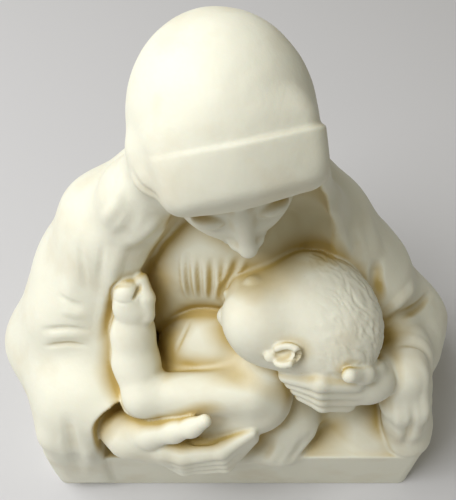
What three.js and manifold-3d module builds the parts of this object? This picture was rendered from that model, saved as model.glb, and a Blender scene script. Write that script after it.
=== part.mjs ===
// A bust of a mother in a mantle who bows over the child in her arms, cast as one piece with its plinth.
// Millimetres. +X is to the viewer's right, +Y to the back and +Z up.
// The origin is the middle of the plinth's underside.
// The figure is a field of signed distances, negative inside, which is then turned into one closed mesh.
import * as THREE from "three";
import { edgeTable, triTable } from "three/addons/objects/MarchingCubes.js";
import { mergeVertices } from "three/addons/utils/BufferGeometryUtils.js";
import Module from "manifold-3d";

// Driving dimensions
const plinth = { width: 230, depth: 150, height: 50, corner: 7, edge: 1.2 };
const gridStep = 2;
const figureTriangles = 9300;
const field = { low: [-140, -106, 2], high: [140, 82, 308] };

// Where the main masses are
const motherHead = { centre: [-4.5, -6, 254.5], bow: 38, turn: 12 };
const childHead = { centre: [35, -41, 155], side: [0, -0.57, 0.82], crown: [0.777, 0.516, 0.361] };
const shoulder = { right: [-66, 15, 167], left: [45, 17, 168] };
const elbow = { right: [-110, -10, 78], left: [101, -4, 90] };

const degrees = Math.PI / 180;

// Two distances blended: k is how wide the soft joint between them is.
function soften(a, b, k) {
  const h = Math.max(k - Math.abs(a - b), 0);
  return Math.min(a, b) - (h * h) / (4 * k);
}

// A form is {near, at}: near is a ball that holds it, as [x, y, z, radius],
// and at(x, y, z) is its signed distance.
function ballOf(forms) {
  const sphere = new THREE.Sphere(new THREE.Vector3(...forms[0].near), forms[0].near[3]);
  for (const { near } of forms) sphere.union(new THREE.Sphere(new THREE.Vector3(...near), near[3]));
  return [...sphere.center.toArray(), sphere.radius];
}

function along(a, b, share) {
  return a.map((value, i) => value + (b[i] - value) * share);
}

function gap(near, x, y, z) {
  return Math.hypot(x - near[0], y - near[1], z - near[2]) - near[3];
}

// An egg: an ellipsoid with its three radii.
function egg([cx, cy, cz], [rx, ry, rz]) {
  return {
    near: [cx, cy, cz, Math.max(rx, ry, rz)],
    at(x, y, z) {
      const [u, v, w] = [x - cx, y - cy, z - cz];
      const k = Math.hypot(u / rx, v / ry, w / rz);
      const slope = Math.hypot(u / (rx * rx), v / (ry * ry), w / (rz * rz));
      return slope < 1e-9 ? -Math.min(rx, ry, rz) : (k * (k - 1)) / slope;
    },
  };
}

// A rod with round ends of two sizes, from a to b.
function bone([ax, ay, az], [bx, by, bz], ra, rb) {
  const [ex, ey, ez] = [bx - ax, by - ay, bz - az];
  const length2 = ex * ex + ey * ey + ez * ez;
  const half = Math.sqrt(length2) / 2;
  return {
    near: [(ax + bx) / 2, (ay + by) / 2, (az + bz) / 2, half + Math.max(ra, rb)],
    at(x, y, z) {
      const [u, v, w] = [x - ax, y - ay, z - az];
      const share = Math.min(1, Math.max(0, (u * ex + v * ey + w * ez) / length2));
      return Math.hypot(u - ex * share, v - ey * share, w - ez * share) - ra - (rb - ra) * share;
    },
  };
}

// A block with rounded edges, from its middle and half sizes.
function block([cx, cy, cz], [hx, hy, hz], round) {
  return {
    near: [cx, cy, cz, Math.hypot(hx, hy, hz)],
    at(x, y, z) {
      const u = Math.abs(x - cx) - hx + round;
      const v = Math.abs(y - cy) - hy + round;
      const w = Math.abs(z - cz) - hz + round;
      const outside = Math.hypot(Math.max(u, 0), Math.max(v, 0), Math.max(w, 0));
      return outside + Math.min(Math.max(u, v, w), 0) - round;
    },
  };
}

function join(k, ...forms) {
  return {
    near: ballOf(forms),
    at(x, y, z) {
      let d = Infinity;
      for (const form of forms) {
        if (gap(form.near, x, y, z) > d + k) continue;
        const e = form.at(x, y, z);
        d = d === Infinity ? e : soften(d, e, k);
      }
      return d === Infinity ? gap(this.near, x, y, z) : d;
    },
  };
}

function cut(k, form, ...tools) {
  return {
    near: form.near,
    at(x, y, z) {
      let d = form.at(x, y, z);
      for (const tool of tools) {
        if (gap(tool.near, x, y, z) > -d + k) continue;
        d = -soften(-d, tool.at(x, y, z), k);
      }
      return d;
    },
  };
}

// A limb through stops, each [x, y, z, radius].
function limb(k, ...stops) {
  const bones = stops
    .slice(1)
    .map((stop, i) => bone(stops[i].slice(0, 3), stop.slice(0, 3), stops[i][3], stop[3]));
  return join(k, ...bones);
}

// A form modelled upright about the origin, then set in place by a rigid matrix.
function placed(matrix, form) {
  const m = matrix.clone().invert().elements;
  const centre = new THREE.Vector3(...form.near).applyMatrix4(matrix);
  return {
    near: [...centre.toArray(), form.near[3]],
    at: (x, y, z) =>
      form.at(
        m[0] * x + m[4] * y + m[8] * z + m[12],
        m[1] * x + m[5] * y + m[9] * z + m[13],
        m[2] * x + m[6] * y + m[10] * z + m[14],
      ),
  };
}

function bowed({ centre, bow, turn }) {
  const euler = new THREE.Euler(bow * degrees, 0, turn * degrees, "XYZ");
  return new THREE.Matrix4().makeRotationFromEuler(euler).setPosition(...centre);
}

function facing({ centre, side, crown }) {
  const x = new THREE.Vector3(...side).normalize();
  const z = new THREE.Vector3(...crown);
  z.addScaledVector(x, -z.dot(x)).normalize();
  return new THREE.Matrix4().makeBasis(x, z.clone().cross(x), z).setPosition(...centre);
}

// A small turn about X and then Y, set at a place.
function leaning(x, y, place) {
  return new THREE.Matrix4().makeRotationFromEuler(new THREE.Euler(x, y, 0)).setPosition(...place);
}

// The nearest place on a form's surface.
function onto(form, point) {
  const p = [...point];
  for (let pass = 0; pass < 6; pass++) {
    const d = form.at(...p);
    const slope = p.map((_, axis) => {
      const moved = p.map((value, i) => (i === axis ? value + 0.5 : value));
      return form.at(...moved) - d;
    });
    const size = Math.max(0.05, slope.reduce((sum, value) => sum + value * value, 0));
    slope.forEach((value, axis) => (p[axis] -= (d * value) / (2 * size)));
  }
  return p;
}

// A fold is a soft ridge, or a groove where its height is negative, along a smooth line on a form.
function fold(form, { points, width, height }) {
  const curve = new THREE.CatmullRomCurve3(points.map((p) => new THREE.Vector3(...onto(form, p))));
  const steps = Math.max(6, Math.ceil(curve.getLength() / 6));
  const line = curve.getPoints(steps).map((p) => onto(form, p.toArray()));
  const bones = line.slice(1).map((p, i) => bone(line[i], p, 0, 0));
  return {
    near: ballOf(bones),
    width,
    at(x, y, z) {
      let nearest = width;
      let share = 0;
      bones.forEach((part, i) => {
        const d = part.at(x, y, z);
        if (d < nearest) [nearest, share] = [d, (i + 0.5) / bones.length];
      });
      const bell = 1 - (nearest / width) ** 2;
      return height * bell * bell * Math.min(1, 3.5 * share, 3.5 * (1 - share));
    },
  };
}

function folded(form, families) {
  const marks = families.flatMap((family) => pleats(...family)).map((line) => fold(form, line));
  return {
    near: [...form.near.slice(0, 3), form.near[3] + 2],
    at(x, y, z) {
      let d = form.at(x, y, z);
      if (Math.abs(d) > 10) return d;
      for (const mark of marks) if (gap(mark.near, x, y, z) < mark.width) d -= mark.at(x, y, z);
      return d;
    },
  };
}

// Ridges and grooves by turns, spread from a first guide line to a last one.
function pleats(count, first, last, width, height) {
  return Array.from({ length: count }, (_, i) => ({
    points: first.map((p, j) => along(p, last[j], count > 1 ? i / (count - 1) : 0)),
    width,
    height: i % 2 ? -0.8 * height : height,
  }));
}

// Only what lies on the near side of a flat plane through a point; the normal points to the side that goes.
function behind(k, form, point, normal) {
  const n = new THREE.Vector3(...normal).normalize();
  const offset = n.dot(new THREE.Vector3(...point));
  return {
    near: form.near,
    at(x, y, z) {
      return -soften(-form.at(x, y, z), offset - n.x * x - n.y * y - n.z * z, k);
    },
  };
}

// What two forms have in common.
function within(k, form, other) {
  return { near: form.near, at: (x, y, z) => -soften(-form.at(x, y, z), -other.at(x, y, z), k) };
}

// The squarish front of the veil, over the brow.
function brow(swell) {
  const front = block([3.5 + swell, -13, 10], [33 + swell, 18 + swell, 34], 9 + swell);
  return within(8, front, egg([4, 0, 2], [54 + swell, 50 + swell, 38 + swell]));
}

function hood() {
  const side = block([-31, -6, -4], [10, 13, 24], 9);
  const crown = join(8, egg([0.5, 7.5, 1.5], [40, 44.6, 44.5]), brow(0), side);
  const cap = behind(8, crown, [0, -32, 0], [0, -1, 0]);
  const opening = block([2, -44, -37], [31, 44, 50], 9);
  return placed(bowed(motherHead), cut(2, cap, opening));
}

// The part of the veil that is folded back over the brow.
function band() {
  const crown = join(6, egg([3, 7, 2], [40, 44.4, 45]), brow(1.2));
  const front = behind(8, crown, [0, -33, 0], [0, -1, 0]);
  const turned = behind(1.2, front, [0, -4, 0], [0, 1, 0.12]);
  return placed(bowed(motherHead), behind(2, turned, [0, 0, 13], [0.1, 0, -1]));
}

function mantle() {
  const { right, left } = shoulder;
  const nape = limb(20, [-4, 20, 242, 31], [-4, 26, 214, 35], [-4, 34, 180, 40]);
  const yoke = limb(18, [...right, 24], [-26, 32, 184, 26], [12, 36, 180, 25], [...left, 21]);
  const rightArm = bone(right, elbow.right, 24, 27);
  const leftArm = bone(left, elbow.left, 23, 25);
  const back = egg([-4, 32, 116], [78, 40, 84]);
  const skirt = block([-2, 24, 62], [100, 44, 46], 36);
  const sleeveTop = egg([-92, -20, 108], [24, 20, 30]);
  const rightSide = bone([-84, 14, 130], [-97, 10, 76], 26, 27);
  const leftSide = bone([66, 14, 130], [88, 10, 78], 26, 27);
  const rightFall = limb(10, [-30, -2, 236, 13], [-46, 0, 206, 18], [-62, 0, 168, 19], [-80, -12, 130, 20]);
  const rightLapel = limb(8, [-62, -4, 146, 13], [-70, -24, 116, 15], [-78, -44, 96, 18]);
  const leftFall = limb(8, [33, -6, 232, 9], [40, -1, 202, 11.5], [52, 3, 170, 18], [73, -5, 138, 23.5]);
  const falls = join(6, rightFall, rightLapel, leftFall);
  const body = join(20, yoke, rightArm, leftArm, back, skirt, sleeveTop, rightSide, leftSide);
  const full = join(14, hood(), join(16, nape, body, falls));
  const rightHollow = limb(
    4,
    [-15, -16, 222, 10],
    [-18, -14, 202, 12],
    [-30, -16, 171, 13],
    [-43, -18, 150, 13],
  );
  const leftHollow = limb(4, [28, -20, 232, 10], [29, -13, 214, 13], [33, -14, 196, 14], [38, -20, 178, 12]);
  return cut(3, full, rightHollow, leftHollow);
}

function sleeves() {
  const forearm = limb(14, [...elbow.right, 26], [-88, -50, 84, 22], [-52, -74, 82, 17.5]);
  const cuffed = behind(1.2, forearm, [-66, -72, 88], [0.64, -0.35, -0.68]);
  const hanging = join(16, block([-98, -57, 42], [18.5, 21.5, 40], 15), egg([-102, -30, 68], [20, 30, 32]));
  const leftForearm = limb(12, [...elbow.left, 26], [99, -26, 96, 19], [96, -40, 106, 14]);
  const drape = limb(12, [100, -8, 72, 19], [104, -34, 68, 15], [106, -56, 58, 12], [107, -64, 54, 9]);
  return join(6, join(6, cuffed, hanging), join(12, leftForearm, drape));
}

function dress() {
  const chest = egg([2, 14, 160], [43, 34, 50]);
  const bosom = join(14, egg([-8, -2, 152], [34, 18, 38]), egg([20, -14, 150], [22, 17, 24]));
  const side = bone([-30, 2, 150], [-40, -4, 112], 16, 18);
  const lap = egg([6, -14, 56], [94, 46, 22]);
  const underChild = limb(9, [30, -36, 84, 18], [32, -54, 66, 18], [28, -67, 52, 11], [-2, -67, 52, 11]);
  const hollow = limb(6, [30, -20, 214, 8], [32, -14, 196, 9], [38, -22, 178, 6]);
  return cut(5, join(10, chest, bosom, side, lap, underChild), hollow);
}

function face() {
  const skull = egg([0, 4, 3], [33, 35, 40]);
  const cheeks = egg([0, -12, -16], [28.5, 27.5, 25]);
  const jaw = egg([0, -16, -34], [22, 20, 22]);
  const chin = egg([0, -27.5, -48], [9.5, 7.5, 8]);
  const plain = join(8, skull, cheeks, jaw, chin);
  const sockets = [-14, 14].map((x) => egg([x, -41, -5], [9.5, 8, 5]));
  const nose = limb(3, [0, -31.5, 3, 3.4], [0, -42.5, -18, 4], [0, -43.5, -21, 4.6]);
  const carved = join(4, cut(5, plain, ...sockets), nose);
  return placed(bowed(motherHead).multiply(leaning(-0.3, 0, [0, -1.5, -4])), carved);
}

function neck() {
  return bone([-2, 8, 222], [-2, 28, 180], 21, 25);
}

function childEar() {
  const plate = cut(1.5, egg([0, 0, 0], [3.7, 6, 8.8]), egg([4, -1, 1], [3.1, 3.2, 5.3]));
  return placed(facing(childHead).multiply(leaning(-0.45, 0.35, [23, 3, -16.5])), plate);
}

function child() {
  const skull = join(
    12,
    egg([0, 3, 8], [28, 36, 30]),
    egg([0, -14, -14], [24, 24, 22]),
    egg([15, -20, -18], [11, 13, 12]),
    egg([-15, -20, -18], [11, 13, 12]),
    bone([0, -33, -5], [0, -35.5, -11], 3, 3.6),
  );
  const chin = egg([0, -27, -28], [6, 5, 5]);
  const head = placed(facing(childHead), join(2, skull, chin));
  const body = join(
    8,
    egg([-7, -27, 108], [32, 22, 28]),
    egg([-30, -40, 96], [20, 14, 14]),
    limb(8, [20, -46, 122, 15], [11, -54, 98, 21], [-8, -55, 87, 22], [-44, -48, 84, 23]),
  );
  const arm = limb(
    9,
    [10, -62, 117, 12.6],
    [-18, -64, 115, 11.6],
    [-45, -61, 114, 12.4],
    [-50, -46, 123, 12.4],
    [-51, -36, 135, 11.2],
    [-52, -30, 146, 9.4],
  );
  const fingers = [0, 2.4, 4.8].map((x) =>
    limb(2, [x - 59, -30, 152, 4.2], [x - 60, -26, 159, 3.8], [x - 58, -18, 163, 3.2]),
  );
  const thumb = limb(2, [-49, -32, 151, 5], [-46, -28, 159, 3.8], [-48, -20, 164, 3.2], [-52, -15, 164, 2.8]);
  const fist = join(1.5, join(1, ...fingers), thumb);
  return join(2, join(1, join(4, head, body), childEar()), join(4, arm, fist));
}

// A hand: a soft palm, a thumb, and four fingers spread from the first one's joints to the last one's.
function hand(palm, first, last, thumb) {
  const fingers = [0, 1 / 3, 2 / 3, 1].map((share) =>
    limb(2, ...first.map((joint, j) => along(joint, last[j], share))),
  );
  return join(1.5, join(4, join(8, ...palm), join(1.6, ...fingers)), thumb);
}

function hands() {
  const right = hand(
    [bone([-80, -52, 70], [-62, -70, 78], 9, 12), egg([-43, -76, 77], [20, 11, 17])],
    [[-36, -80, 84, 8.5], [-28, -83, 84, 7.4], [-7, -84, 90, 5.4], [10, -78, 99.5, 2.6]],
    [[-34, -79, 60, 7], [-28, -82, 58, 6], [-4, -84.5, 67, 4.6], [11.5, -78, 90, 2.6]],
    limb(
      4,
      [-62, -70, 86, 10.5],
      [-46, -75.5, 93, 9],
      [-32, -79, 105, 6.6],
      [-22, -80.5, 113, 5.2],
      [-15.5, -80, 120, 4.2],
    ),
  );
  const left = hand(
    [bone([94, -46, 114], [82, -56, 126], 11, 11), egg([69, -64, 130], [14, 9, 15])],
    [[60, -68, 144, 6], [42, -71.5, 150, 5], [27, -62, 138, 4.2]],
    [[60, -66, 114, 6], [47, -68.5, 118, 5], [36.5, -63.5, 118, 4.2]],
    limb(4, [88, -52, 123, 8], [78, -61.5, 140, 5.4], [66.5, -68.5, 152, 4.6], [55, -73, 161, 3.9]),
  );
  return join(2, right, left);
}

// Families of folds: how many, the first and the last guide line, the half width and the height.
const mantleFolds = [
  [
    3,
    [[-80, -12, 172], [-84, -18, 152], [-88, -24, 136]],
    [[-62, -14, 188], [-62, -20, 168], [-68, -24, 150]],
    7,
    0.8,
  ],
  [
    3,
    [[-122, -22, 116], [-104, -28, 122], [-84, -30, 130]],
    [[-124, -26, 106], [-102, -34, 110], [-82, -38, 118]],
    5,
    1,
  ],
  [
    4,
    [[-46, -4, 228], [-50, -8, 214], [-58, -8, 200]],
    [[-30, -14, 210], [-42, -16, 196], [-52, -20, 182]],
    5,
    1.2,
  ],
  [
    5,
    [[50, -8, 206], [54, -10, 184], [58, -22, 168]],
    [[72, 8, 184], [84, 0, 158], [90, -8, 146]],
    6,
    1.4,
  ],
  [
    5,
    [[70, -36, 160], [88, -18, 146], [106, -4, 134]],
    [[84, -38, 122], [104, -20, 118], [122, -8, 104]],
    5,
    1.2,
  ],
  [
    5,
    [[90, -28, 108], [92, -50, 84], [97, -66, 56]],
    [[112, -24, 92], [116, -40, 70], [112, -64, 58]],
    6,
    1.6,
  ],
  [
    3,
    [[-90, -68, 92], [-96, -78, 76], [-100, -84, 50]],
    [[-80, -72, 88], [-86, -80, 58], [-90, -84, 20]],
    6,
    1.4,
  ],
  [
    7,
    [[-46, 34, 206], [-66, 60, 150], [-78, 66, 54]],
    [[38, 34, 206], [60, 60, 150], [74, 66, 54]],
    12,
    1.8,
  ],
];
const dressFolds = [
  [
    7,
    [[-24, -16, 182], [-25, -24, 164], [-22, -28, 142]],
    [[4, -18, 182], [2, -26, 164], [-8, -28, 140]],
    2.8,
    1,
  ],
  [
    3,
    [[52, -66, 76], [46, -70, 62], [38, -76, 52]],
    [[28, -68, 70], [26, -72, 60], [20, -78, 52]],
    5,
    1.2,
  ],
];

function figure() {
  const cloth = folded(join(3, band(), join(12, mantle(), sleeves())), mantleFolds);
  const gown = folded(join(4, dress(), neck()), dressFolds);
  return join(2, cloth, gown, face(), child(), hands());
}

// The field's zero surface, as an indexed mesh: one vertex for each grid edge that crosses it.
function polygonize(form, { low, high }, step) {
  const size = low.map((value, i) => Math.ceil((high[i] - value) / step) + 1);
  const [nx, ny, nz] = size;
  const values = new Float32Array(nx * ny * nz);
  const cell = 4;
  const reach = cell * step * Math.sqrt(3) * 0.6;
  for (let bk = 0; bk < nz; bk += cell)
    for (let bj = 0; bj < ny; bj += cell)
      for (let bi = 0; bi < nx; bi += cell) {
        const middle = [bi, bj, bk].map((b, axis) => low[axis] + (b + (cell - 1) / 2) * step);
        const far = form.at(...middle);
        const same = Math.abs(far) > reach + 2;
        for (let k = bk; k < Math.min(bk + cell, nz); k++)
          for (let j = bj; j < Math.min(bj + cell, ny); j++)
            for (let i = bi; i < Math.min(bi + cell, nx); i++) {
              const border = i === 0 || j === 0 || k === 0 || i === nx - 1 || j === ny - 1 || k === nz - 1;
              const d = same ? far : form.at(low[0] + i * step, low[1] + j * step, low[2] + k * step);
              const clear = Math.max(Math.abs(d), 0.16 * step);
              values[i + nx * (j + ny * k)] = border ? Math.max(d, step / 2) : d < 0 ? -clear : clear;
            }
      }
  const corner = [0, 1, 1 + nx, nx, nx * ny, 1 + nx * ny, 1 + nx + nx * ny, nx + nx * ny];
  const square = [[0, 0], [1, 0], [1, 1], [0, 1]];
  const corners = [0, 1].flatMap((z) => square.map(([x, y]) => [x, y, z]));
  const turns = [0, 1, 2, 3];
  const edges = [
    ...turns.map((i) => [i, (i + 1) % 4]),
    ...turns.map((i) => [i + 4, ((i + 1) % 4) + 4]),
    ...turns.map((i) => [i, i + 4]),
  ];
  const positions = [];
  const triangles = [];
  const vertexOf = new Map();
  for (let k = 0; k < nz - 1; k++)
    for (let j = 0; j < ny - 1; j++)
      for (let i = 0; i < nx - 1; i++) {
        const n = i + nx * (j + ny * k);
        let kind = 0;
        for (let c = 0; c < 8; c++) if (values[n + corner[c]] < 0) kind |= 1 << c;
        if (!edgeTable[kind]) continue;
        const vertex = (e) => {
          const [a, b] = edges[e];
          const [na, nb] = [n + corner[a], n + corner[b]];
          const apart = Math.abs(na - nb);
          const axis = apart === 1 ? 0 : apart === nx ? 1 : 2;
          const key = Math.min(na, nb) * 3 + axis;
          if (!vertexOf.has(key)) {
            const share = values[na] / (values[na] - values[nb]);
            const p = along(corners[a], corners[b], share);
            vertexOf.set(key, positions.length / 3);
            positions.push(...low.map((start, axis) => start + ([i, j, k][axis] + p[axis]) * step));
          }
          return vertexOf.get(key);
        };
        for (let t = kind * 16; triTable[t] !== -1; t += 3)
          triangles.push(vertex(triTable[t]), vertex(triTable[t + 2]), vertex(triTable[t + 1]));
      }
  return { positions, triangles };
}

// Edges are collapsed, the least change of form first, until only so many triangles are left.
function simplify({ positions, triangles }, wanted) {
  const count = positions.length / 3;
  const point = Array.from({ length: count }, (_, i) => positions.slice(3 * i, 3 * i + 3));
  const faces = Array.from({ length: triangles.length / 3 }, (_, f) => triangles.slice(3 * f, 3 * f + 3));
  const around = Array.from({ length: count }, () => new Set());
  faces.forEach((face, f) => face.forEach((v) => around[v].add(f)));
  const minus = (a, b) => [a[0] - b[0], a[1] - b[1], a[2] - b[2]];
  const cross = (a, b) => [a[1] * b[2] - a[2] * b[1], a[2] * b[0] - a[0] * b[2], a[0] * b[1] - a[1] * b[0]];
  const dot = (a, b) => a[0] * b[0] + a[1] * b[1] + a[2] * b[2];
  const squared = (a) => dot(a, a);
  const normalOf = (a, b, c) => cross(minus(b, a), minus(c, a));
  const quadric = Array.from({ length: count }, () => new Float64Array(10));
  for (const [a, b, c] of faces) {
    const normal = normalOf(point[a], point[b], point[c]);
    const size = Math.hypot(...normal) || 1;
    const [x, y, z] = normal.map((value) => value / size);
    const w = -dot([x, y, z], point[a]);
    const plane = [x * x, x * y, x * z, x * w, y * y, y * z, y * w, z * z, z * w, w * w];
    for (const v of [a, b, c]) plane.forEach((value, i) => (quadric[v][i] += (value * size) / 6));
  }
  const errorAt = (q, [x, y, z]) =>
    q[0] * x * x + 2 * q[1] * x * y + 2 * q[2] * x * z + 2 * q[3] * x + q[4] * y * y +
    2 * q[5] * y * z + 2 * q[6] * y + q[7] * z * z + 2 * q[8] * z + q[9];
  const best = (a, b) => {
    const q = quadric[a].map((value, i) => value + quadric[b][i]);
    const middle = along(point[a], point[b], 0.5);
    const rows = [[q[0], q[1], q[2]], [q[1], q[4], q[5]], [q[2], q[5], q[7]]];
    const pull = 1e-3 * (q[0] + q[4] + q[7]) + 1e-9;
    rows.forEach((row, i) => (row[i] += pull));
    const right = [pull * middle[0] - q[3], pull * middle[1] - q[6], pull * middle[2] - q[8]];
    const whole = dot(rows[0], cross(rows[1], rows[2]));
    const solved = [
      dot(right, cross(rows[1], rows[2])) / whole,
      dot(rows[0], cross(right, rows[2])) / whole,
      dot(rows[0], cross(rows[1], right)) / whole,
    ];
    const length2 = squared(minus(point[a], point[b]));
    return { place: solved, cost: Math.max(0, errorAt(q, solved)) + 1e-5 * length2 };
  };
  const longest2 = (face) => Math.max(...face.map((p, i) => squared(minus(p, face[(i + 1) % 3]))));
  const heap = [];
  const push = (item) => {
    let i = heap.push(item) - 1;
    for (let up = (i - 1) >> 1; i > 0 && heap[up].cost > item.cost; up = (i - 1) >> 1) {
      heap[i] = heap[up];
      i = up;
    }
    heap[i] = item;
  };
  const pop = () => {
    const top = heap[0];
    const item = heap.pop();
    if (!heap.length) return top;
    let i = 0;
    for (;;) {
      let next = 2 * i + 1;
      if (next >= heap.length) break;
      if (next + 1 < heap.length && heap[next + 1].cost < heap[next].cost) next++;
      if (heap[next].cost >= item.cost) break;
      heap[i] = heap[next];
      i = next;
    }
    heap[i] = item;
    return top;
  };
  const age = new Int32Array(count);
  const offer = (a, b) => push({ a, b, born: age[a] + age[b], ...best(a, b) });
  const neighbours = (v) => new Set([...around[v]].flatMap((f) => faces[f]).filter((other) => other !== v));
  let left = faces.length;
  let worst = 0.3;
  while (left > wanted) {
    if (!heap.length) {
      worst *= 0.6;
      for (const face of faces.filter(Boolean))
        face.forEach((v, i) => v < face[(i + 1) % 3] && offer(v, face[(i + 1) % 3]));
    }
    const { a, b, born, place } = pop();
    if (!around[a] || !around[b] || born !== age[a] + age[b]) continue;
    const ring = neighbours(b);
    const shared = [...neighbours(a)].filter((v) => ring.has(v));
    const going = [...around[a]].filter((f) => around[b].has(f));
    if (shared.length !== 2 || going.length !== 2) continue;
    const staying = [...around[a], ...around[b]].filter((f) => !going.includes(f));
    const turned = staying.some((f) => {
      const before = faces[f].map((v) => point[v]);
      const after = faces[f].map((v) => (v === a || v === b ? place : point[v]));
      const [m, n] = [normalOf(...before), normalOf(...after)];
      const [was, is] = [Math.hypot(...m), Math.hypot(...n)];
      const thin = is / longest2(after) < Math.min(worst, was / longest2(before));
      return thin || dot(m, n) < 0.5 * was * is;
    });
    if (turned) continue;
    for (const f of going) {
      for (const v of faces[f]) around[v].delete(f);
      faces[f] = null;
    }
    for (const f of around[b]) {
      faces[f] = faces[f].map((v) => (v === b ? a : v));
      around[a].add(f);
    }
    around[b] = null;
    point[a] = place;
    quadric[b].forEach((value, i) => (quadric[a][i] += value));
    age[a] += age[b] + 1;
    left -= 2;
    for (const v of neighbours(a)) offer(a, v);
  }
  const kept = faces.filter(Boolean);
  const order = new Map([...new Set(kept.flat())].map((v, i) => [v, i]));
  return {
    positions: [...order.keys()].flatMap((v) => point[v]),
    triangles: kept.flat().map((v) => order.get(v)),
  };
}

function plinthGeometry({ width, depth, height, corner, edge }) {
  const [w, d] = [width / 2 - edge, depth / 2 - edge];
  const outline = new THREE.Shape();
  outline.absarc(w - corner, d - corner, corner, 0, Math.PI / 2);
  outline.absarc(corner - w, d - corner, corner, Math.PI / 2, Math.PI);
  outline.absarc(corner - w, corner - d, corner, Math.PI, 1.5 * Math.PI);
  outline.absarc(w - corner, corner - d, corner, 1.5 * Math.PI, 2 * Math.PI);
  const geometry = new THREE.ExtrudeGeometry(outline, {
    depth: height - 2 * edge,
    curveSegments: 6,
    bevelSize: edge,
    bevelThickness: edge,
    bevelSegments: 2,
  });
  return geometry.translate(0, 0, edge);
}

const wasm = await Module();
wasm.setup();
const { Manifold, Mesh } = wasm;

function solidOf(positions, triangles) {
  const mesh = new Mesh({
    numProp: 3,
    vertProperties: new Float32Array(positions),
    triVerts: new Uint32Array(triangles),
  });
  mesh.merge();
  return new Manifold(mesh);
}

const sculpture = figure();
const clay = simplify(polygonize(sculpture, field, gridStep), figureTriangles);
for (let i = 0; i < clay.positions.length; i += 3) {
  const point = clay.positions.slice(i, i + 3);
  if (point[2] > 6) clay.positions.splice(i, 3, ...onto(sculpture, point));
}
const slab = mergeVertices(plinthGeometry(plinth).deleteAttribute("uv").deleteAttribute("normal"), 1e-4);
const base = solidOf(slab.attributes.position.array, slab.index.array);
const shells = base.add(solidOf(clay.positions, clay.triangles)).decompose();
const cast = shells.reduce((a, b) => (a.volume() > b.volume() ? a : b)).getMesh();

const geometry = new THREE.BufferGeometry();
geometry.setAttribute("position", new THREE.BufferAttribute(new Float32Array(cast.vertProperties), 3));
geometry.setIndex([...cast.triVerts]);
geometry.computeVertexNormals();
const bisque = new THREE.MeshStandardMaterial({ color: "#e4ddca", roughness: 0.62, metalness: 0 });
const statue = new THREE.Mesh(geometry, bisque);
statue.name = "madonna_and_child";

const root = new THREE.Group();
root.name = "madonna_and_child_bust";
root.add(statue);
export default root;
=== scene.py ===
# Bisque statue of a mother bowing over the child in her arms, on an oblong plinth.
import math
from collections import namedtuple

import bmesh
import bpy
import numpy as np
from mathutils import Euler, Matrix, Vector, noise


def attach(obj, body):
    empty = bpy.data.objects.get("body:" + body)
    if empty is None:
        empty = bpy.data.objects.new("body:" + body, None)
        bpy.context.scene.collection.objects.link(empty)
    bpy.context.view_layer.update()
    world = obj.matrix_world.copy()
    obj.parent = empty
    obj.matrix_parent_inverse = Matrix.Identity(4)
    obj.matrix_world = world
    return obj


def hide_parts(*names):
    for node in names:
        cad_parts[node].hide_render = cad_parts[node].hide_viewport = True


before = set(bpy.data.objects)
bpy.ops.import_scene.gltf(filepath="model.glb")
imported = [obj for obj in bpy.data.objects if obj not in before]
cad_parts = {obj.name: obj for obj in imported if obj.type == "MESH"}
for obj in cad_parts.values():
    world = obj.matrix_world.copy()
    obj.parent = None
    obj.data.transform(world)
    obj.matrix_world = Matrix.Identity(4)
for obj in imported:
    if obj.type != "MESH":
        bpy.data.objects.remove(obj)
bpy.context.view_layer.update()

print("frame loaded")

# A form is a soft solid: at(points) gives each point's distance from its surface, less than zero inside,
# and near is a ball that holds it. Sizes are in millimetres until the mesh is done.
Form = namedtuple("Form", "near at")


def soften(a, b, k):
    h = np.maximum(k - np.abs(a - b), 0)
    return np.minimum(a, b) - h * h / (4 * k)


def ballOf(forms):
    centre, radius = forms[0].near[:3], forms[0].near[3]
    for form in forms[1:]:
        way = form.near[:3] - centre
        far = np.linalg.norm(way)
        if far + form.near[3] <= radius:
            continue
        if far + radius <= form.near[3]:
            centre, radius = form.near[:3], form.near[3]
            continue
        grown = (far + radius + form.near[3]) / 2
        centre, radius = centre + way * (grown - radius) / far, grown
    return np.append(centre, radius)


def gap(near, p):
    return np.sqrt(((p - near[:3]) ** 2).sum(1)) - near[3]


def egg(centre, radii):
    centre, radii = np.array(centre, float), np.array(radii, float)

    def at(p):
        q = (p - centre) / radii
        k = np.sqrt((q * q).sum(1))
        slope = np.sqrt(((q / radii) ** 2).sum(1))
        return np.where(slope < 1e-9, -radii.min(), k * (k - 1) / np.maximum(slope, 1e-9))

    return Form(np.append(centre, radii.max()), at)


def bone(a, b, ra, rb):
    a, b = np.array(a, float), np.array(b, float)
    way = b - a
    length2 = way @ way

    def at(p):
        q = p - a
        share = np.clip(q @ way / length2, 0, 1)
        return np.sqrt(((q - share[:, None] * way) ** 2).sum(1)) - ra - (rb - ra) * share

    return Form(np.append((a + b) / 2, math.sqrt(length2) / 2 + max(ra, rb)), at)


def block(centre, half, rounding):
    centre, half = np.array(centre, float), np.array(half, float)

    def at(p):
        q = np.abs(p - centre) - half + rounding
        return np.sqrt((np.maximum(q, 0) ** 2).sum(1)) + np.minimum(q.max(1), 0) - rounding

    return Form(np.append(centre, np.linalg.norm(half)), at)


# an upright slab with its four tall edges rounded by corner and all the others by edge
def slab(width, depth, height, corner, edge):
    def at(p):
        q = np.abs(p[:, :2]) - np.array([width, depth]) / 2 + corner
        flat = np.sqrt((np.maximum(q, 0) ** 2).sum(1)) + np.minimum(q.max(1), 0) - corner
        q = np.stack([flat, np.abs(p[:, 2] - height / 2) - height / 2], 1) + edge
        return np.sqrt((np.maximum(q, 0) ** 2).sum(1)) + np.minimum(q.max(1), 0) - edge

    return Form(np.array([0, 0, height / 2, math.hypot(width, depth, height) / 2]), at)


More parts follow.
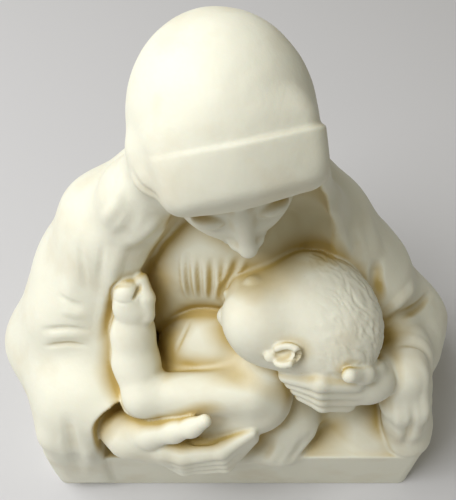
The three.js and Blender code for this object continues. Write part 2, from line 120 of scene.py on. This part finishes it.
def join(k, *forms):
    def at(p):
        d = np.full(len(p), np.inf)
        for form in forms:
            s = np.nonzero(gap(form.near, p) <= d + k)[0]
            if not len(s):
                continue
            e = form.at(p[s])
            old = d[s]
            fresh = np.isinf(old)
            d[s] = np.where(fresh, e, soften(np.where(fresh, e + 2 * k, old), e, k))
        return d

    return Form(ballOf(forms), at)


def cut(k, form, *tools):
    def at(p):
        d = form.at(p)
        for tool in tools:
            s = np.nonzero(gap(tool.near, p) <= k - d)[0]
            if len(s):
                d[s] = -soften(-d[s], tool.at(p[s]), k)
        return d

    return Form(form.near, at)


# a limb through stops, each x, y, z and radius
def limb(k, *stops):
    return join(k, *[bone(a[:3], b[:3], a[3], b[3]) for a, b in zip(stops, stops[1:])])


# cuts a form off flat at a point, on the side that the normal points to
def behind(k, form, point, normal):
    n = np.array(normal, float) / np.linalg.norm(normal)
    offset = n @ np.array(point, float)
    return Form(form.near, lambda p: -soften(-form.at(p), offset - p @ n, k))


# what two forms have in common
def within(k, form, other):
    return Form(form.near, lambda p: -soften(-form.at(p), -other.at(p), k))


def placed(matrix, form):
    size = matrix.median_scale
    turn = np.array(matrix.to_3x3()) / size
    shift = np.array(matrix.translation)
    centre = size * (turn @ form.near[:3]) + shift
    return Form(np.append(centre, size * form.near[3]), lambda p: size * form.at((p - shift) @ turn / size))


# a head bowed to the front and then turned about its own upright
def bowed(head):
    bow = Euler([math.radians(head["bow"]), 0, 0]).to_matrix()
    turn = Euler([0, 0, math.radians(head["turn"])]).to_matrix()
    return Matrix.Translation(head["centre"]) @ (bow @ turn).to_4x4()


# a head given by the direction of one ear and that of its crown
def facing(head):
    x = Vector(head["side"]).normalized()
    z = Vector(head["crown"])
    z = (z - x * z.dot(x)).normalized()
    turn = Matrix((x, z.cross(x), z)).transposed()
    return Matrix.Translation(head["centre"]) @ turn.to_4x4()


def leaning(x, y, place):
    turn = Euler([x, 0, 0]).to_matrix() @ Euler([0, y, 0]).to_matrix()
    return Matrix.Translation(place) @ turn.to_4x4()


def between(a, b, share):
    return [u + (v - u) * share for u, v in zip(a, b)]


# where the heads, shoulders and elbows are, and how the heads are turned
pose = {
    "motherHead": {"centre": (-4.5, -6, 254.5), "bow": 38, "turn": 12},
    "childHead": {"centre": (35, -41, 155), "side": (0, -0.57, 0.82), "crown": (0.777, 0.516, 0.361)},
    "rightShoulder": (-66, 15, 167),
    "leftShoulder": (45, 17, 168),
    "rightElbow": (-110, -10, 78),
    "leftElbow": (101, -4, 90),
}
motherFrame = bowed(pose["motherHead"])
childFrame = facing(pose["childHead"])


# the squarish front of the veil, over the brow
def brow(swell):
    front = block([3.5 + swell, -13, 10], [33 + swell, 18 + swell, 34], 9 + swell)
    return within(8, front, egg([4, 0, 2], [54 + swell, 50 + swell, 38 + swell]))


def hood():
    side = block([-31, -6, -4], [10, 13, 24], 9)
    cap = behind(8, join(8, egg([0.5, 7.5, 1.5], [40, 44.6, 44.5]), brow(0), side), [0, -32, 0], [0, -1, 0])
    opening = block([2, -44, -37], [31, 44, 50], 9)
    return placed(motherFrame, cut(2, cap, opening))


# the part of the veil that is folded back over the brow
def band():
    front = behind(8, join(6, egg([3, 7, 2], [40, 44.4, 45]), brow(1.2)), [0, -33, 0], [0, -1, 0])
    turned = behind(1.2, front, [0, -4, 0], [0, 1, 0.12])
    return placed(motherFrame, behind(2, turned, [0, 0, 13], [0.1, 0, -1]))


def mantle():
    right, left = pose["rightShoulder"], pose["leftShoulder"]
    nape = limb(20, [-4, 20, 242, 31], [-4, 26, 214, 35], [-4, 34, 180, 40])
    yoke = limb(18, [*right, 24], [-26, 32, 184, 26], [12, 36, 180, 25], [*left, 21])
    rightArm = bone(right, pose["rightElbow"], 24, 27)
    leftArm = bone(left, pose["leftElbow"], 23, 25)
    back = egg([-4, 32, 116], [78, 40, 84])
    skirt = block([-2, 24, 62], [100, 44, 46], 36)
    sleeveTop = egg([-92, -20, 108], [24, 20, 30])
    rightSide = bone([-84, 14, 130], [-97, 10, 76], 26, 27)
    leftSide = bone([66, 14, 130], [88, 10, 78], 26, 27)
    rightFall = limb(10, [-30, -2, 236, 13], [-46, 0, 206, 18], [-62, 0, 168, 19], [-80, -12, 130, 20])
    rightLapel = limb(8, [-62, -4, 146, 13], [-70, -24, 116, 15], [-78, -44, 96, 18])
    leftFall = limb(8, [33, -6, 232, 9], [40, -1, 202, 11.5], [52, 3, 170, 18], [73, -5, 138, 23.5])
    falls = join(6, rightFall, rightLapel, leftFall)
    body = join(20, yoke, rightArm, leftArm, back, skirt, sleeveTop, rightSide, leftSide)
    full = join(14, hood(), join(16, nape, body, falls))
    rightHollow = limb(4, [-15, -16, 222, 10], [-18, -14, 202, 12], [-30, -16, 171, 13], [-43, -18, 150, 13])
    leftHollow = limb(4, [28, -20, 232, 10], [29, -13, 214, 13], [33, -14, 196, 14], [38, -20, 178, 12])
    return cut(3, full, rightHollow, leftHollow)


def sleeves():
    forearm = limb(14, [*pose["rightElbow"], 26], [-88, -50, 86, 22], [-58, -68, 92, 16])
    hanging = join(12, block([-93, -56, 42], [22.5, 22.5, 40], 14), egg([-102, -30, 68], [20, 30, 32]))
    leftForearm = limb(12, [*pose["leftElbow"], 26], [99, -26, 96, 19], [96, -40, 106, 14])
    drape = limb(12, [100, -8, 72, 19], [104, -34, 68, 15], [106, -56, 58, 12], [107, -64, 54, 9])
    leftCuff = limb(
        10, [95, -36, 118, 13], [90, -53, 122, 12], [95, -60, 103, 12],
        [100, -60, 80, 11.5], [103, -64, 58, 9],
    )
    opening = block([-41, -80, 54.5], [36, 32, 52.5], 12)
    right = cut(2.5, join(14, forearm, hanging), opening)
    return join(6, right, join(12, leftForearm, drape, leftCuff))


def dress():
    chest = egg([2, 14, 160], [43, 34, 50])
    bosom = join(14, egg([-8, -2, 152], [34, 18, 38]), egg([20, -14, 150], [22, 17, 24]))
    side = bone([-30, 2, 150], [-40, -4, 112], 16, 18)
    lap = egg([6, -14, 56], [94, 46, 22])
    drapeFoot = egg([88, -49, 51], [26, 21, 12])
    underChild = limb(9, [30, -36, 84, 18], [32, -54, 66, 18], [28, -67, 52, 11], [-2, -67, 52, 11])
    hollow = limb(6, [30, -20, 214, 8], [32, -14, 196, 9], [38, -22, 178, 6])
    return cut(5, join(10, chest, bosom, side, lap, underChild, drapeFoot), hollow)


def motherFace():
    skull = egg([0, 4, 3], [33, 35, 40])
    cheeks = egg([0, -12, -16], [28.5, 27.5, 25])
    jaw = egg([0, -16, -34], [22, 20, 22])
    chin = egg([0, -27.5, -48], [9.5, 7.5, 8])
    plain = join(8, skull, cheeks, jaw, chin)
    sockets = [egg([14 * s, -41, -5], [9.5, 8, 5]) for s in (-1, 1)]
    lids = [egg([13 * s, -29.6, -6.5], [8.5, 6.8, 5.2]) for s in (-1, 1)]
    nose = join(
        3, bone([0, -31.5, 3], [0, -42.5, -18], 3.4, 3.8), egg([0, -44.5, -21], [4.2, 4, 3.6]),
        egg([4.8, -40, -22], [3.2, 3.8, 3]), egg([-4.8, -40, -22], [3.2, 3.8, 3]),
    )
    upperLip = limb(2, [-9, -34.5, -36.6, 1.1], [-3, -38, -35, 2], [3, -38, -35, 2], [9, -34.5, -36.6, 1.1])
    lowerLip = limb(2, [-7, -35, -38.4, 1.4], [0, -37.8, -39.6, 2.6], [7, -35, -38.4, 1.4])
    carved = join(4, cut(5, plain, *sockets), nose)
    face = join(1.2, carved, *lids, upperLip, lowerLip)
    return placed(motherFrame @ leaning(-0.30, 0, (0, -1.5, -4)), face)


def neck():
    return bone([-2, 8, 222], [-2, 28, 180], 21, 25)


# the ear's plain form, which the rough figure has, and then the ear with its rim, lobe and bowl
def earPlate():
    return egg([0, 0, 0], [3.4, 6.4, 9.8])


def carvedEar():
    turns = np.radians(np.arange(-50, 211, 20))
    helix = limb(1, *[[2.8, 0.6 + 5.2 * math.cos(t), 1.2 + 7.8 * math.sin(t), 1.9] for t in turns])
    lobe = egg([1.6, -0.6, -8], [2.6, 3.8, 3.4])
    tragus = egg([2.4, -5, -1.5], [2, 1.7, 2.6])
    bowl = egg([4.2, -0.8, -0.4], [4.2, 3.8, 5.2])
    return join(1.0, cut(1.2, earPlate(), bowl), helix, lobe, tragus)


def child(ear):
    skull = join(
        12, egg([0, 3, 8], [28, 36, 30]), egg([0, -12, -14], [24, 23.5, 22]),
        egg([15, -19, -18], [11, 13, 12]), egg([-15, -19, -18], [11, 13, 12]),
        bone([0, -31, -5], [0, -34, -11], 3, 3.6),
    )
    lids = [egg([10.5 * s, -31, -7], [6, 5, 4.4]) for s in (-1, 1)]
    lips = limb(1.5, [-5, -33, -20, 1.3], [0, -35.5, -20, 2], [5, -33, -20, 1.3])
    head = placed(childFrame, join(2, skull, *lids, lips, egg([0, -27, -28], [6, 5, 5])))
    earPlace = childFrame @ leaning(-0.45, 0.35, (23, 3, -16.5)) @ Matrix.Scale(0.88, 4)
    body = join(
        8, egg([-10, -27, 107], [33, 22, 24]), egg([-30, -40, 96], [20, 14, 14]),
        limb(8, [20, -46, 122, 15], [11, -54, 98, 21], [-8, -55, 87, 22], [-44, -48, 84, 23]),
    )
    upperArm = bone([8, -61, 113.5], [-48, -61.5, 111.5], 12.2, 11.8)
    foreArm = limb(6, [-48, -61, 112, 12], [-53, -46, 122, 12], [-54, -36, 135, 10.8], [-53, -30, 146, 9.8])
    arm = join(4, upperArm, foreArm)
    fingers = join(5, egg([-55, -25, 158], [7.6, 8.5, 9.5]), egg([-53, -30, 151], [10.4, 8.4, 8]))
    thumb = limb(2, [-46, -33, 149, 5], [-45.5, -27.5, 157, 4.4], [-48, -20.5, 163.5, 4])
    fist = join(1, fingers, thumb)
    return join(1, join(2, join(6, join(4, head, body), arm), fist), placed(earPlace, ear))


# four fingers spread from the first one's joints to the last one's, on a soft palm with a thumb
def hand(palm, first, last, thumb):
    fingers = [limb(2, *[between(a, b, i / 3) for a, b in zip(first, last)]) for i in range(4)]
    return join(1.5, join(4, join(8, *palm), join(2.4, *fingers)), thumb)


def motherHands():
    right = hand(
        [bone([-80, -58, 80], [-60, -74, 84], 8, 12), egg([-43, -76, 77], [20, 11, 17])],
        [[-36, -80, 84, 8.5], [-28, -83, 84, 7.4], [-7, -84, 90, 5.4], [10, -78, 99.5, 2.6]],
        [[-34, -79, 60, 7], [-28, -82, 58, 6], [-4, -84.5, 67, 4.6], [11.5, -78, 90, 2.6]],
        limb(
            4, [-62, -70, 86, 10], [-46, -75.5, 93, 8.6], [-32, -79, 105, 6],
            [-22, -80.5, 113.5, 4.6], [-15, -80, 121, 3.6],
        ),
    )
    left = hand(
        [bone([90, -36, 113], [77, -54, 127], 9, 9.5), egg([69, -64, 130], [14, 9, 15])],
        [[60, -68, 144, 6], [42, -71.5, 150, 5], [27, -62, 138, 4.2]],
        [[60, -66, 114, 6], [47, -68.5, 118, 5], [36.5, -63.5, 118, 4.2]],
        limb(4, [80, -52, 127, 7], [71.5, -61, 141, 5], [64, -68.3, 152, 4.3], [55, -73, 161, 3.7]),
    )
    return join(2, right, left)


plinth = {"width": 230, "depth": 150, "height": 50, "corner": 7, "edge": 1.2}
parts = {
    "cloth": join(3, band(), join(15, mantle(), sleeves())),
    "dress": join(4, dress(), neck()),
    "face": motherFace(),
    "child": child(carvedEar()),
    "hands": motherHands(),
    "plinth": slab(**plinth),
}
ground = join(7, parts["dress"], parts["plinth"])
figure = join(2.6, ground, *[parts[name] for name in ("cloth", "face", "child", "hands")])
roughFigure = join(2.6, ground, parts["cloth"], parts["face"], child(earPlate()), parts["hands"])
print("clay mixed")


def slopeOf(form, p, d, step=0.4):
    moved = [form.at(p + step * np.eye(3)[axis]) - d for axis in range(3)]
    return np.stack(moved, 1) / step


# the nearest places on a form's surface; each pass takes a second, cheaper step along the same slope
def onto(form, p, passes, limit=3.0):
    p = p.copy()
    for _ in range(passes):
        d = form.at(p)
        slope = slopeOf(form, p, d)
        slope /= np.maximum((slope * slope).sum(1), 0.05)[:, None]
        p -= slope * np.clip(d, -limit, limit)[:, None]
        p -= slope * np.clip(form.at(p), -limit / 3, limit / 3)[:, None]
    return p


# folds and hair in millimetres: fade is the share of a line in which it rises, edge is the width of the
# strip in which a part's own marks die out towards its neighbour
marks = {
    "fade": 0.3, "edge": 1.2, "hairHeight": 0.5, "hairLength": 6.5, "hairWidth": 2.1, "hairWave": 3,
    "unevenness": 0.22,
}


def curveAt(a, b, c, d, t):
    return 0.5 * (2 * b + (c - a) * t + (2 * a - 5 * b + 4 * c - d) * t**2 + (3 * b - a - 3 * c + d) * t**3)


# a smooth line through the points, laid on the form's surface
def smoothLine(points, form, step=3.0):
    p = onto(form, np.array(points, float), 6)
    p = np.vstack([2 * p[0] - p[1], p, 2 * p[-1] - p[-2]])
    line = []
    for a, b, c, d in zip(p, p[1:], p[2:], p[3:]):
        n = max(2, int(np.linalg.norm(c - b) / step))
        for t in np.linspace(0, 1, n, endpoint=False):
            line.append(curveAt(a, b, c, d, t))
    line.append(p[-2])
    return onto(form, np.array(line), 2)


# heights that a soft ridge along a line adds at the points; a groove has a height below zero
def ridge(p, line, width, height):
    near = ballOf([Form(np.append(q, 0.0), None) for q in line])
    s = np.nonzero(gap(near, p) < width)[0]
    out = np.zeros(len(p))
    if not len(s):
        return out
    q = p[s]
    nearest = np.full(len(s), width, float)
    share = np.zeros(len(s))
    for i, (a, b) in enumerate(zip(line, line[1:])):
        way = b - a
        t = np.clip((q - a) @ way / max(way @ way, 1e-6), 0, 1)
        d = np.sqrt(((q - a - t[:, None] * way) ** 2).sum(1))
        closer = d < nearest
        nearest[closer] = d[closer]
        share[closer] = (i + t[closer]) / (len(line) - 1)
    bell = (1 - (nearest / width) ** 2) ** 2
    out[s] = height * bell * np.clip(np.minimum(share, 1 - share) / marks["fade"], 0, 1)
    return out


# ridges and grooves by turns, spread from a first guide line to a last one
def pleats(count, first, last, width, height):
    for i in range(count):
        line = [between(a, b, i / max(count - 1, 1)) for a, b in zip(first, last)]
        yield line, width, -0.8 * height if i % 2 else height


def crease(width, height, *line):
    return line, width, height


folds = {
    "cloth": [
        # right sleeve, from the shoulder down to the cuff
        *pleats(
            3, [[-80, -12, 172], [-84, -18, 152], [-88, -24, 136]],
            [[-62, -14, 188], [-62, -20, 168], [-68, -24, 150]], 7, 0.7,
        ),
        crease(2.6, -1.0, [-106, -31, 129], [-90, -34, 136.5], [-77, -34.5, 135]),
        crease(3.6, 0.7, [-105, -33.5, 125], [-90, -36, 132], [-76, -37, 131]),
        crease(2.2, -1.1, [-106, -36, 119.5], [-91, -38.5, 126.5], [-78, -39.5, 126.5]),
        crease(3.0, -0.9, [-94, -21, 151], [-86, -26, 150], [-79, -28, 149]),
        crease(4.0, 0.8, [-92, -26, 144], [-85, -29, 144], [-78, -30, 144]),
        crease(3.4, -0.7, [-77, -10, 188], [-77, -18, 174], [-77, -25, 157]),
        crease(3.0, -0.8, [-63.5, -16, 192], [-66, -20.5, 179.5], [-70, -24, 163]),
        crease(5.0, 1.2, [-50, -18, 202], [-60, -22, 174], [-69, -29, 146], [-74, -41, 125]),
        crease(6.0, -1.6, [-91, -66, 102], [-90.5, -75, 92], [-94, -78, 70]),
        crease(6.0, 1.2, [-82, -76, 92], [-83, -80, 70], [-84, -80, 45]),
        *pleats(
            3, [[-90, -68, 92], [-96, -78, 76], [-100, -84, 50]],
            [[-80, -72, 88], [-86, -80, 58], [-90, -84, 20]], 6, 0.7,
        ),
        # where the veil meets the shoulder
        *pleats(
            4, [[-46, -4, 228], [-50, -8, 214], [-58, -8, 200]],
            [[-30, -14, 210], [-42, -16, 196], [-52, -20, 182]], 5, 1.2,
        ),
        crease(3.0, -1.0, [-42.5, -27, 259], [-37, -33, 254], [-30, -40, 252]),
        # left front edge and shoulder
        crease(5.0, 1.3, [45, -8, 214], [50, -10, 200], [58, -15, 178]),
        crease(6.0, -1.2, [58, 4, 198], [59, -8, 189], [65, -15, 173]),
        crease(7.0, 1.0, [66, 8, 192], [70, -2, 178], [76, -10, 166]),
        crease(6.0, -2.4, [74, -10, 170], [74, -20, 159], [77, -25, 149]),
        # left elbow
        crease(6.5, 2.8, [80, -28, 137], [89, -22, 145], [101, -7, 140]),
        crease(3.8, -2.3, [87, -25, 136], [101, -15, 125], [117, 2, 116]),
        crease(5.0, 0.9, [84, -30, 132], [98, -22, 120], [114, -8, 106]),
        # the drape that falls from it
        crease(3.4, -1.6, [92, -61, 120], [96, -70, 108], [98, -72, 90], [100.4, -75.4, 65]),
        crease(4.5, 1.2, [87, -60, 122], [91, -68, 104], [93.5, -72, 86], [95, -74, 62]),
        crease(5.0, 1.4, [94, -50, 132], [99, -62, 116], [103, -72, 92], [106, -74, 68]),
        crease(3.6, -1.2, [104, -46, 122], [108, -60, 102], [111, -68, 78]),
        crease(3.0, -1.0, [82, -44, 136], [90, -42, 135], [98, -44, 126], [102, -50, 114]),
        crease(4.0, 0.9, [84, -38, 138], [94, -36, 136], [103, -40, 122], [107, -50, 106]),
        # the back, in long soft falls
        *pleats(
            7, [[-46, 34, 206], [-66, 60, 150], [-78, 66, 54]],
            [[38, 34, 206], [60, 60, 150], [74, 66, 54]], 12, 1.8,
        ),
    ],
    "dress": [
        *pleats(
            7, [[-27, -15, 180], [-27, -19, 162], [-25, -20, 140]],
            [[-8, -17, 181], [-8, -21, 164], [-10, -22, 145]], 2.3, 1.1,
        ),
        *pleats(
            3, [[-2, -18, 182], [-4, -22, 170], [-9, -24, 158]],
            [[6, -18, 182], [2, -24, 172], [-5, -27, 163]], 2.4, 0.9,
        ),
        *pleats(
            3, [[52, -66, 76], [46, -70, 62], [38, -76, 52]],
            [[28, -68, 70], [26, -72, 60], [20, -78, 52]], 5, 1.2,
        ),
    ],
    "hands": [
        crease(2.8, -2.4, [-27, -79, 91], [-21, -80.5, 92.5], [-15, -81, 93.5], [-7, -80.8, 94.5]),
    ],
    "child": [
        crease(1.8, -0.7, [-23, -24, 129], [-27.5, -33, 126], [-32, -40, 118]),
        crease(1.5, -2.2, [-47.4, -24, 165.8], [-49.4, -28.4, 163.3], [-51.4, -32.2, 161.6]),
        crease(1.4, -0.4, [-51, -26, 165], [-57, -26, 166], [-62, -24, 161]),
        crease(1.4, -0.4, [-51, -31, 160], [-57, -32, 160], [-63, -27, 157]),
    ],
}


def grain(p, sizes):
    return np.array([noise.noise(Vector(q)) for q in p / np.array(sizes)])


# short tufts round the child's crown
def hairRelief(p):
    q = (p - np.array(childFrame.translation)) @ np.array(childFrame.to_3x3().normalized())
    cover = np.clip((0.8 * q[:, 2] + 0.6 * q[:, 1] + 3) / 16, 0, 1)
    s = np.nonzero((cover > 0) & (np.linalg.norm(q, axis=1) < 48))[0]
    q = q[s]
    q[:, 2] += marks["hairWave"] * grain(q, (11, 11, 11))
    tufts = 1 - 2.4 * np.abs(grain(q, (marks["hairLength"], marks["hairLength"], marks["hairWidth"])))
    out = np.zeros(len(p))
    out[s] = marks["hairHeight"] * cover[s] * tufts
    return out


# the soft waves of clay worked by hand
def unevenness(p):
    return marks["unevenness"] * (grain(p, (15, 15, 15)) + 0.4 * grain(p, (6, 6, 6)))


# how much each point belongs to each part, from 0 to 1
def belongings(p):
    gaps = {name: part.at(p) for name, part in parts.items()}
    shares = {}
    for name, own in gaps.items():
        other = np.min([d for key, d in gaps.items() if key != name], axis=0)
        shares[name] = np.clip((other - own) / marks["edge"], 0, 1)
    return shares


def folded(p, normals):
    shares = belongings(p)
    lift = unevenness(p) * (1 - shares["plinth"]) + hairRelief(p) * shares["child"]
    for name, lines in folds.items():
        own = np.zeros(len(p))
        for points, width, height in lines:
            own += ridge(p, smoothLine(points, parts[name]), width, height)
        lift += own * shares[name]
    return p + normals * lift[:, None]


# voxels in millimetres, and how far the hollow measure looks out from the surface with each reach's weight
statueLook = {
    "roughVoxel": 1.6, "roughRounds": 9, "voxel": 0.85, "rounds": 2, "softening": 0.4, "triangles": 190000,
    "hollowReaches": ((1.5, 0.1), (4, 0.15), (9, 0.2), (18, 0.25), (32, 0.3)),
}


def applyModifier(obj, kind, **settings):
    modifier = obj.modifiers.new(kind.title(), kind)
    for key, value in settings.items():
        setattr(modifier, key, value)
    depsgraph = bpy.context.evaluated_depsgraph_get()
    done = bpy.data.meshes.new_from_object(obj.evaluated_get(depsgraph))
    old = obj.data
    obj.modifiers.clear()
    obj.data = done
    bpy.data.meshes.remove(old)


def pointsOf(mesh):
    co = np.empty(len(mesh.vertices) * 3)
    mesh.vertices.foreach_get("co", co)
    return co.reshape(-1, 3) * 1000


def setPoints(mesh, p):
    mesh.vertices.foreach_set("co", (p / 1000).ravel())
    mesh.update()


def normalsOf(mesh):
    normals = np.empty(len(mesh.vertices) * 3)
    mesh.vertex_normals.foreach_get("vector", normals)
    return normals.reshape(-1, 3)


# rounds of a small move of the surface towards a form along its own normals and a fresh even mesh
def shaped(statue, form, voxel, rounds):
    reach = 1.6 * voxel
    for _ in range(rounds):
        p = pointsOf(statue.data)
        move = np.clip(form.at(p), -reach, reach)
        setPoints(statue.data, p - normalsOf(statue.data) * move[:, None])
        applyModifier(statue, "REMESH", mode="VOXEL", voxel_size=voxel / 1000)
        applyModifier(statue, "SMOOTH", factor=0.5, iterations=1)


# how closed in each point is by the rest of the figure, from 0 to 1
def hollowness(p, normals):
    closed = np.zeros(len(p))
    for reach, weight in statueLook["hollowReaches"]:
        d = figure.at(p + normals * reach)
        closed += weight * np.clip(1 - d / reach, 0, 1)
    return closed


def buildStatue():
    bm = bmesh.new()
    bm.from_mesh(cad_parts["madonna_and_child"].data)
    bmesh.ops.remove_doubles(bm, verts=bm.verts, dist=1e-6)
    mesh = bpy.data.meshes.new("statue")
    bm.to_mesh(mesh)
    bm.free()
    statue = bpy.data.objects.new("statue", mesh)
    bpy.context.scene.collection.objects.link(statue)
    applyModifier(statue, "REMESH", mode="VOXEL", voxel_size=statueLook["roughVoxel"] / 1000)
    shaped(statue, roughFigure, statueLook["roughVoxel"], statueLook["roughRounds"])
    print("statue roughed out,", len(statue.data.vertices), "points")
    shaped(statue, figure, statueLook["voxel"], statueLook["rounds"])
    setPoints(statue.data, onto(figure, pointsOf(statue.data), 1))
    print("statue carved,", len(statue.data.vertices), "points")
    setPoints(statue.data, folded(pointsOf(statue.data), normalsOf(statue.data)))
    applyModifier(statue, "SMOOTH", factor=statueLook["softening"], iterations=2)
    print("folds laid")
    count = len(statue.data.loops) - 2 * len(statue.data.polygons)  # what the faces come to in triangles
    applyModifier(statue, "DECIMATE", ratio=min(1, statueLook["triangles"] / count))
    p = pointsOf(statue.data)
    # the hollow measure later darkens the colour in the recesses: painted shade together with the ochre
    # patina
    hollow = statue.data.attributes.new("hollow", "FLOAT", "POINT")
    hollow.data.foreach_set("value", hollowness(p, normalsOf(statue.data)).astype(np.float32))
    for face in statue.data.polygons:
        face.use_smooth = True
    print("statue finished,", len(statue.data.polygons), "faces")
    return statue


# the recess colour rises from one measure of hollowness to another, up to a strength; it is an ochre patina
# and also painted shade, darker where the figure closes in; stain and the other patterns give their size as
# the noise's scale
bisqueLook = {
    "colour": (0.845, 0.84, 0.715),
    "patinaAndShadeColour": (0.54, 0.40, 0.12), "patinaAndShadeFrom": 0.18, "patinaAndShadeTo": 0.75, "patinaAndShadeStrength": 0.95,
    "stainColour": (0.62, 0.52, 0.33), "stainScale": 38, "stain": 0.35,
    "roughness": 0.6, "roughnessSpread": 0.08, "roughnessScale": 70,
    "bumpScale": 420, "bumpStrength": 0.25, "bumpHeight": 0.0004,
    "glow": 0.12, "glowDepth": (0.004, 0.003, 0.002),
}


def bisque():
    look = bisqueLook
    material = bpy.data.materials.new("bisque")
    material.use_nodes = True
    nodes, links = material.node_tree.nodes, material.node_tree.links
    shader = nodes["Principled BSDF"]
    shader.inputs["Subsurface Weight"].default_value = look["glow"]
    shader.inputs["Subsurface Radius"].default_value = look["glowDepth"]
    shader.inputs["Subsurface Scale"].default_value = 1.0
    shader.inputs["Specular IOR Level"].default_value = 0.4
    place = nodes.new("ShaderNodeTexCoord")

    # a value from one range brought into another
    def ranged(value, low, high, toLow, toHigh):
        ramp = nodes.new("ShaderNodeMapRange")
        for name, number in zip(("From Min", "From Max", "To Min", "To Max"), (low, high, toLow, toHigh)):
            ramp.inputs[name].default_value = number
        links.new(value, ramp.inputs["Value"])
        return ramp.outputs["Result"]

    def cloud(scale, detail):
        pattern = nodes.new("ShaderNodeTexNoise")
        pattern.inputs["Scale"].default_value = scale
        pattern.inputs["Detail"].default_value = detail
        links.new(place.outputs["Object"], pattern.inputs["Vector"])
        return pattern.outputs["Fac"]

    def tinted(below, colour, strength):
        tint = nodes.new("ShaderNodeMix")
        tint.data_type = "RGBA"
        tint.inputs["B"].default_value = (*colour, 1)
        if isinstance(below, tuple):
            tint.inputs["A"].default_value = (*below, 1)
        else:
            links.new(below, tint.inputs["A"])
        links.new(strength, tint.inputs["Factor"])
        return tint.outputs["Result"]

    hollow = nodes.new("ShaderNodeAttribute")
    hollow.attribute_name = "hollow"
    # recess colour: ochre patina plus painted shade, darkest where the figure closes in most
    depth = ranged(hollow.outputs["Fac"], look["patinaAndShadeFrom"], look["patinaAndShadeTo"], 0, look["patinaAndShadeStrength"])
    agedAndShaded = tinted(look["colour"], look["patinaAndShadeColour"], depth)
    spots = ranged(cloud(look["stainScale"], 5), 0.5, 0.78, 0, look["stain"])
    links.new(tinted(agedAndShaded, look["stainColour"], spots), shader.inputs["Base Color"])
    low, high = look["roughness"] - look["roughnessSpread"], look["roughness"] + look["roughnessSpread"]
    dullness = ranged(cloud(look["roughnessScale"], 3), 0.3, 0.7, low, high)
    links.new(dullness, shader.inputs["Roughness"])
    bump = nodes.new("ShaderNodeBump")
    bump.inputs["Strength"].default_value = look["bumpStrength"]
    bump.inputs["Distance"].default_value = look["bumpHeight"]
    links.new(cloud(look["bumpScale"], 4), bump.inputs["Height"])
    links.new(bump.outputs["Normal"], shader.inputs["Normal"])
    return material


room = {
    "floorColour": (0.62, 0.62, 0.64), "floorRoughness": 0.9, "air": (1, 0.95, 0.78), "airStrength": 0.24,
    "lights": {
        "windowLight": {"place": (-0.85, 0.40, 1.05), "size": 0.7, "power": 5.2},
        "fillLight": {"place": (-0.62, -0.34, 1.38), "size": 0.7, "power": 15.2},
    },
    "aim": (0, 0, 0.12),
}


def buildRoom():
    scene = bpy.context.scene
    scene.view_settings.view_transform = "Standard"
    bpy.ops.mesh.primitive_plane_add(size=6)
    floor = bpy.context.object
    floor.name = "floor"
    paleFloor = bpy.data.materials.new("paleFloor")
    paleFloor.use_nodes = True
    shader = paleFloor.node_tree.nodes["Principled BSDF"]
    shader.inputs["Base Color"].default_value = (*room["floorColour"], 1)
    shader.inputs["Roughness"].default_value = room["floorRoughness"]
    floor.data.materials.append(paleFloor)
    scene.world = bpy.data.worlds.new("studio")
    scene.world.use_nodes = True
    air = scene.world.node_tree.nodes["Background"]
    air.inputs["Color"].default_value = (*room["air"], 1)
    air.inputs["Strength"].default_value = room["airStrength"]
    for name, lamp in room["lights"].items():
        light = bpy.data.lights.new(name, "AREA")
        light.size = lamp["size"]
        light.energy = lamp["power"]
        obj = bpy.data.objects.new(name, light)
        scene.collection.objects.link(obj)
        obj.location = lamp["place"]
        way = Vector(room["aim"]) - Vector(lamp["place"])
        obj.rotation_euler = way.to_track_quat("-Z", "Y").to_euler()


# the lens is in millimetres on a 36 mm sensor; 723 is its length in pixels of a picture 500 high
view = {"place": (-0.003, -0.222, 0.478), "down": 55, "lens": 723 * 36 / 500, "sensor": 36}


def buildCamera():
    camera = bpy.data.objects.new("camera", bpy.data.cameras.new("camera"))
    bpy.context.scene.collection.objects.link(camera)
    camera.data.lens = view["lens"]
    camera.data.sensor_width = view["sensor"]
    camera.location = view["place"]
    camera.rotation_euler = (math.radians(90 - view["down"]), 0, 0)
    bpy.context.scene.camera = camera


statue = buildStatue()
statue.data.materials.clear()
statue.data.materials.append(bisque())
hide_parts("madonna_and_child")
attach(statue, "root")
buildRoom()
buildCamera()
print("room lit")
